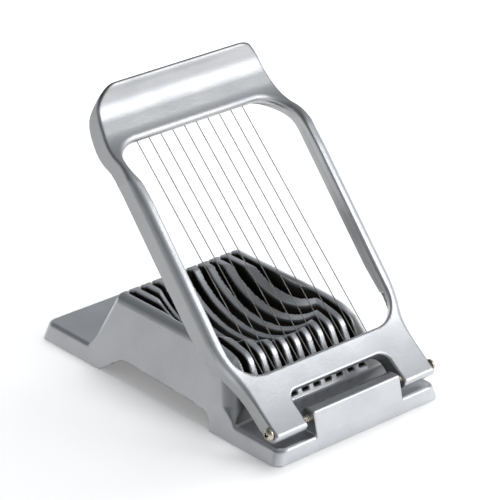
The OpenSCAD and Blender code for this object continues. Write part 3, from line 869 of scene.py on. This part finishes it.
@dataclass
class HingeScrews:
    """Two pan-head screws with a cross recess and a rolled thread."""

    size: float = 3.0
    head: float = 5.0
    head_height: float = 2.0
    seat: float = 39.7
    tip: float = 11.3
    thread_pitch: float = 0.5
    thread_depth: float = 0.1
    wing_width: float = 0.72
    wing_length: float = 2.8
    wing_depth: float = 1.3
    turn: float = 20.0

    def cap(self, x: Grid, ring: Grid) -> Grid:
        """Distance to the dome of the head."""
        dome = (self.head / 2) ** 2 / (2 * self.head_height) + self.head_height / 2 + 0.35
        return np.hypot(x - self.seat - self.head_height + dome, ring) - dome

    def shape(self, x: Grid, y: Grid, z: Grid) -> Grid:
        """One screw along X with its head outward, negative inside."""
        ring = np.hypot(y, z)
        phase = np.arctan2(z, y) / (2 * math.pi) + x / self.thread_pitch
        wave = np.abs(phase - np.round(phase)) * 2
        worked = 1.0 - ramp(x, self.seat - 14.0, self.seat - 13.0)
        thread = self.size / 2 - self.thread_depth * wave * worked
        shank = meet(ring - thread, self.tip - x, 0.5)
        shank = np.maximum(shank, x - self.seat - 0.3)
        pan = meet(np.maximum(ring - self.head / 2, self.cap(x, ring)), self.seat - x, 0.15)
        pan = meet(pan, ring - self.head / 2, 0.25)
        turn = math.radians(self.turn)
        a = np.abs(y * math.cos(turn) + z * math.sin(turn))
        b = np.abs(z * math.cos(turn) - y * math.sin(turn))
        depth = self.seat + self.head_height - x
        width = np.minimum(a, b) - self.wing_width / 2 + depth * 0.08
        length = np.maximum(a, b) - self.wing_length / 2 + depth * 0.55
        wing = np.maximum(np.maximum(width, length), depth - self.wing_depth)
        return cut(np.minimum(shank, pan), wing, 0.08)

    def recess(self, x: Grid, y: Grid, z: Grid) -> Grid:
        """Mask of the painted shade in the cross recess."""
        ring = np.hypot(y, z)
        inner = ring < self.head / 2 - 0.5
        return ramp(-self.cap(x, ring), 0.12, 0.4) * inner * (x > self.seat + 0.4)

    def build(self, lever: LeverFrame, finish: bpy.types.Material) -> bpy.types.Object:
        """Set both screws on the lever's hinge axis, as one piece of the base."""
        along = lines(
            (self.tip - 0.3, 26.0, 0.3),
            (26.0, self.seat - 0.6, 0.3),
            (self.seat - 0.6, self.seat + 2.3, 0.11),
        )
        around = lines((-2.8, 2.8, 0.13))
        net = SurfaceNet(self.shape, along, around, around)
        points, normals, quads = net.build()
        # Painted shade in the cross recess only, none on the sides
        masks = {"recess": self.recess(*points.T), "painted_shade": np.zeros(len(points))}
        single = mesh_object("hinge_screw", points * MM, normals, quads, **masks)
        tree = PieceTree("hinge_screws")
        pattern = tree.size("Screw", "Object", single)
        centre = Vector((0.0, (lever.hinge_y - lever.base_length / 2) * MM, lever.hinge_z * MM))
        place = tree.size("Hinge Point", "Vector", tuple(centre))
        turn = tree.size("Half Turn", "Float", math.pi)
        coat = tree.size("Finish", "Material", finish)
        origin = (0.0, 0.0, 0.0)
        row = tree.node("GeometryNodeMeshLine", Count=2, Start_Location=place, Offset=origin)
        info = tree.node("GeometryNodeObjectInfo", Object=pattern)
        swing = tree.math("MULTIPLY", tree.node("GeometryNodeInputIndex"), turn)
        spin = tree.node("ShaderNodeCombineXYZ", Z=swing)
        set_out = tree.node(
            "GeometryNodeInstanceOnPoints",
            Points=row,
            Instance=info.outputs["Geometry"],
            Rotation=spin,
        )
        real = tree.node("GeometryNodeRealizeInstances", Geometry=set_out)
        piece = tree.baked(tree.node("GeometryNodeSetMaterial", Geometry=real, Material=coat))
        bpy.data.objects.remove(single)
        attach(piece, Body.BASE.value)
        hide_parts("hinge_screw_left", "hinge_screw_right")
        return piece


# Finishes


class ShaderTree(NodeTools):
    """Short calls for shader nodes."""

    def __init__(self, tree: bpy.types.NodeTree) -> None:
        """Work on a material's, a world's or a group's tree."""
        self.tree = tree

    @classmethod
    def emptied(cls, owner: bpy.types.ID) -> "ShaderTree":
        """Empty the tree of a material or a world and work on it."""
        owner.use_nodes = True
        owner.node_tree.nodes.clear()
        return cls(owner.node_tree)

    def spread(
        self, value: object, low: float, high: float, out: tuple[float, float]
    ) -> bpy.types.NodeSocket:
        """Map a value between two limits onto a new range, clamped."""
        return self.node("ShaderNodeMapRange", value, low, high, *out).outputs[0]

    def tint(self, factor: object, a: object, b: object) -> bpy.types.NodeSocket:
        """Mix two colours by a factor."""
        made = self.tree.nodes.new("ShaderNodeMix")
        made.data_type = "RGBA"
        self.feed(made.inputs[0], factor)
        self.feed(made.inputs[6], a)
        self.feed(made.inputs[7], b)
        return made.outputs[2]


def cast_grain_group() -> bpy.types.NodeTree:
    """Build the group that gives metal its grain, cloudiness and specks.

    Returns:
        Group with the outputs Height, Cloud and Speck, all from 0 to 1.
    """
    group = bpy.data.node_groups.new("Cast Grain", "ShaderNodeTree")
    kind = "NodeSocketFloat"
    for name in ("Grain Scale", "Cloud Scale", "Speck Scale"):
        group.interface.new_socket(name, in_out="INPUT", socket_type=kind)
    for name in ("Height", "Cloud", "Speck"):
        group.interface.new_socket(name, in_out="OUTPUT", socket_type=kind)
    work = ShaderTree(group)
    inlet, outlet = work.node("NodeGroupInput"), work.node("NodeGroupOutput")
    place = work.node("ShaderNodeTexCoord").outputs["Object"]
    kind = "ShaderNodeTexNoise"
    grain = work.node(kind, Vector=place, Scale=inlet.outputs[0], Detail=3.0, Roughness=0.6)
    cloud = work.node(kind, Vector=place, Scale=inlet.outputs[1], Detail=4.0, Roughness=0.55)
    speck = work.node(kind, Vector=place, Scale=inlet.outputs[2], Detail=1.0, Roughness=0.5)
    dots = work.spread(speck, 0.68, 0.76, (0.0, 1.0))
    for target, source in zip(outlet.inputs, (grain, cloud, dots)):
        work.feed(target, source)
    return group


@dataclass(frozen=True)
class MetalFinish:
    """Bare metal with grain, clouded gloss, a few dark specks and, where a piece has masks, painted
    shade.

    Attributes:
        name: Name of the material.
        light: Colour of clean metal.
        dark: Colour of dull or stained metal.
        gloss: Roughness from the most polished to the dullest spots.
        grain: Scale of the fine grain, in waves a metre.
        relief: Depth of the grain.
        cloud: Scale of the clouds.
        specks: Strength of the specks.
        painted_shade_colour: Colour of the painted shade on faces that the masks mark, if the piece
            has masks.
        depth_shade_colour: Colour of the painted shade deep in slots, hollows and recesses.
    """

    name: str
    light: tuple[float, float, float]
    dark: tuple[float, float, float]
    gloss: tuple[float, float]
    grain: float
    relief: float
    cloud: float
    specks: float
    painted_shade_colour: tuple[float, float, float] | None = None
    depth_shade_colour: tuple[float, float, float] = (0.1, 0.1, 0.1)

    def build(self, group: bpy.types.NodeTree) -> bpy.types.Material:
        """Make the material with the grain group that the metals share."""
        material = bpy.data.materials.new(self.name)
        work = ShaderTree.emptied(material)
        grain = work.node("ShaderNodeGroup")
        grain.node_tree = group
        for target, scale in zip(grain.inputs, (self.grain, self.cloud, self.grain * 0.3)):
            target.default_value = scale
        shader = work.node("ShaderNodeBsdfPrincipled", Metallic=1.0)
        cloud = work.spread(grain.outputs["Cloud"], 0.3, 0.7, (0.0, 1.0))
        specks = work.math("MULTIPLY", grain.outputs["Speck"], self.specks)
        stain = work.math("MAXIMUM", cloud, specks)
        tone = work.tint(stain, (*self.light, 1.0), (*self.dark, 1.0))
        rough = work.spread(work.math("ADD", cloud, grain.outputs["Height"]), 0.2, 1.7, self.gloss)
        # Painted shade: faces marked in the masks are darkened, darkest deep in slots and hollows
        if self.painted_shade_colour is not None:
            painted_shade, recess = (work.node("ShaderNodeAttribute") for _ in range(2))
            painted_shade.attribute_name, recess.attribute_name = "painted_shade", "recess"
            tone = work.tint(painted_shade.outputs["Fac"], tone, (*self.painted_shade_colour, 1.0))
            tone = work.tint(recess.outputs["Fac"], tone, (*self.depth_shade_colour, 1.0))
            rough = work.math("ADD", rough, work.math("MULTIPLY", recess.outputs["Fac"], 0.25))
        work.feed(shader.inputs["Base Color"], tone)
        work.feed(shader.inputs["Roughness"], rough)
        height = grain.outputs["Height"]
        bump = work.node("ShaderNodeBump", Height=height, Strength=self.relief, Distance=0.0001)
        work.feed(shader.inputs["Normal"], bump)
        work.node("ShaderNodeOutputMaterial", Surface=shader)
        return material


CASTING = MetalFinish(
    "Satin cast aluminium",
    light=(0.66, 0.67, 0.69),
    dark=(0.59, 0.60, 0.62),
    gloss=(0.31, 0.43),
    grain=1000.0,
    relief=0.45,
    cloud=70.0,
    specks=0.35,
    # Painted shade colours: darker marked faces, and near black deep in slots and hollows
    painted_shade_colour=(0.40, 0.40, 0.405),
    depth_shade_colour=(0.07, 0.06, 0.05),
)
SCREW = MetalFinish(
    "Nickelled brass",
    light=(0.70, 0.64, 0.55),
    dark=(0.48, 0.43, 0.36),
    gloss=(0.18, 0.32),
    grain=2500.0,
    relief=0.15,
    cloud=400.0,
    specks=0.3,
    # Painted shade: none on the sides, near black in the cross recess
    painted_shade_colour=(0.70, 0.64, 0.55),
    depth_shade_colour=(0.03, 0.03, 0.03),
)
WIRE = MetalFinish(
    "Drawn steel",
    light=(0.34, 0.34, 0.33),
    dark=(0.2, 0.19, 0.18),
    gloss=(0.3, 0.45),
    grain=6000.0,
    relief=0.1,
    cloud=300.0,
    specks=0.2,
)


# Studio


@dataclass(frozen=True)
class Lamp:
    """Soft rectangular lamp.

    Attributes:
        name: Name of the lamp.
        place: Where it hangs, in metres.
        aim: Point that it faces.
        size: Width and height of its panel.
        power: Power in watts.
        mirrored: Whether bright faces show it, or only the floor is lit.
    """

    name: str
    place: tuple[float, float, float]
    aim: tuple[float, float, float]
    size: tuple[float, float]
    power: float
    mirrored: bool = True

    def hang(self) -> None:
        """Put the lamp in the scene."""
        data = bpy.data.lights.new(self.name, "AREA")
        data.shape = "RECTANGLE"
        data.size, data.size_y = self.size
        data.energy = self.power
        lamp = linked(self.name, data)
        lamp.location = self.place
        away = Vector(self.place) - Vector(self.aim)
        lamp.rotation_euler = away.to_track_quat("Z", "Y").to_euler()
        lamp.visible_glossy = self.mirrored


LAMPS = (
    Lamp("key", (0.9, -1.15, 0.42), (0.0, 0.0, 0.05), (0.9, 0.6), 0.5),
    Lamp("front", (0.6, -0.78, 0.78), (0.0, -0.03, 0.03), (0.5, 0.4), 0.8),
    Lamp("near", (0.22, -0.32, 0.23), (0.0, -0.06, 0.03), (0.28, 0.22), 0.36),
    Lamp("top", (0.5, 0.3, 1.0), (0.0, 0.0, 0.0), (0.8, 0.8), 9.0, mirrored=False),
)


@dataclass
class Studio:
    """Pale floor, soft lamps and the camera of the photograph."""

    camera_place: tuple[float, float, float] = (-0.5955, -0.6849, 0.4777)
    azimuth: float = -41.347
    elevation: float = 25.287
    lens: float = 193.7

    def camera(self) -> None:
        """Set up the camera that looks as the photograph does."""
        data = bpy.data.cameras.new("camera")
        data.sensor_width = 36.0
        data.lens = self.lens
        data.clip_start, data.clip_end = 0.01, 100.0
        camera = linked("camera", data)
        a, e = math.radians(self.azimuth), math.radians(self.elevation)
        right = Vector((math.cos(a), math.sin(a), 0.0))
        back = Vector((math.sin(a) * math.cos(e), -math.cos(a) * math.cos(e), math.sin(e)))
        turn = Matrix((right, back.cross(right), back)).transposed()
        camera.matrix_world = Matrix.Translation(self.camera_place) @ turn.to_4x4()
        bpy.context.scene.camera = camera

    def floor(self) -> None:
        """Lay a pale floor that keeps the shadow of the object."""
        mesh = bpy.data.meshes.new("floor")
        mesh.from_pydata([(-6, -6, 0), (6, -6, 0), (6, 6, 0), (-6, 6, 0)], [], [(0, 1, 2, 3)])
        floor = linked("floor", mesh)
        material = bpy.data.materials.new("Pale floor")
        work = ShaderTree.emptied(material)
        path = work.node("ShaderNodeLightPath")
        shown = work.math("MAXIMUM", path.outputs["Is Camera Ray"], path.outputs["Is Glossy Ray"])
        shown = work.math("MAXIMUM", shown, path.outputs["Is Transmission Ray"])
        plain = work.node("ShaderNodeBsdfDiffuse", Color=(0.92, 0.92, 0.92, 1.0))
        place = work.node("ShaderNodeTexCoord").outputs["Object"]
        away = work.node("ShaderNodeVectorMath", Vector=place)
        away.operation = "LENGTH"
        far = work.spread(away.outputs["Value"], 0.22, 1.2, (0.0, 1.0))
        far = work.math("MULTIPLY", far, path.outputs["Is Camera Ray"])
        shown = work.math("ADD", work.math("MULTIPLY", shown, 0.24), far)
        glow = work.node("ShaderNodeEmission", Color=WHITE, Strength=shown)
        both = work.node("ShaderNodeAddShader", plain, glow)
        work.node("ShaderNodeOutputMaterial", Surface=both)
        floor.data.materials.append(material)

    def world(self) -> None:
        """Give the room its soft light, white where the camera looks."""
        world = bpy.data.worlds.new("Studio")
        bpy.context.scene.world = world
        work = ShaderTree.emptied(world)
        way = work.node("ShaderNodeTexCoord").outputs["Generated"]
        split = work.node("ShaderNodeSeparateXYZ", Vector=way)
        # The room is brighter to the right, to the front and overhead
        right = work.spread(split.outputs["X"], -0.6, 0.5, (0.35, 1.0))
        front = work.spread(split.outputs["Y"], -0.7, 0.5, (1.25, 0.55))
        high = work.spread(split.outputs["Z"], 0.1, 0.7, (0.42, 0.5))
        soft = work.math("MULTIPLY", work.math("MULTIPLY", right, front), high)
        # A pale card stands low all round, and a faint one behind
        low = work.spread(split.outputs["Z"], 0.15, 0.4, (1.0, 0.0))
        card = work.spread(split.outputs["X"], 0.4, 0.8, (0.45, 0.6))
        soft = work.math("ADD", soft, work.math("MULTIPLY", low, card))
        back = work.spread(split.outputs["Y"], 0.3, 0.65, (0.0, 0.18))
        under = work.spread(split.outputs["Z"], 0.42, 0.6, (1.0, 0.0))
        soft = work.math("ADD", soft, work.math("MULTIPLY", back, under))
        path = work.node("ShaderNodeLightPath")
        room = work.node("ShaderNodeBackground", Color=(0.94, 0.97, 1.0, 1.0), Strength=soft)
        white = work.node("ShaderNodeBackground", Color=WHITE, Strength=1.0)
        pick = work.node("ShaderNodeMixShader", path.outputs["Is Camera Ray"], room, white)
        work.node("ShaderNodeOutputWorld", Surface=pick)

    def build(self) -> None:
        """Set up camera, floor, world and lamps."""
        bpy.context.scene.view_settings.view_transform = "Standard"
        self.camera()
        self.floor()
        self.world()
        for lamp in LAMPS:
            lamp.hang()


def main() -> None:
    """Build the slicer and its studio, and report each piece."""
    logging.basicConfig(level=logging.INFO, format="%(name)s: %(message)s")
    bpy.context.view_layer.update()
    Studio().build()
    grain = cast_grain_group()
    casting, screw, wire = (finish.build(grain) for finish in (CASTING, SCREW, WIRE))
    lever = LeverFrame()
    pieces = [BaseCasting().build(), lever.build()]
    for piece in pieces:
        piece.data.materials.append(casting)
    pieces.append(CuttingWires().build(lever, wire))
    pieces.append(HingeScrews().build(lever, screw))
    for piece in pieces:
        LOG.info("%s: %d faces", piece.name, len(piece.data.polygons))


if __name__ == "__main__":
    main()
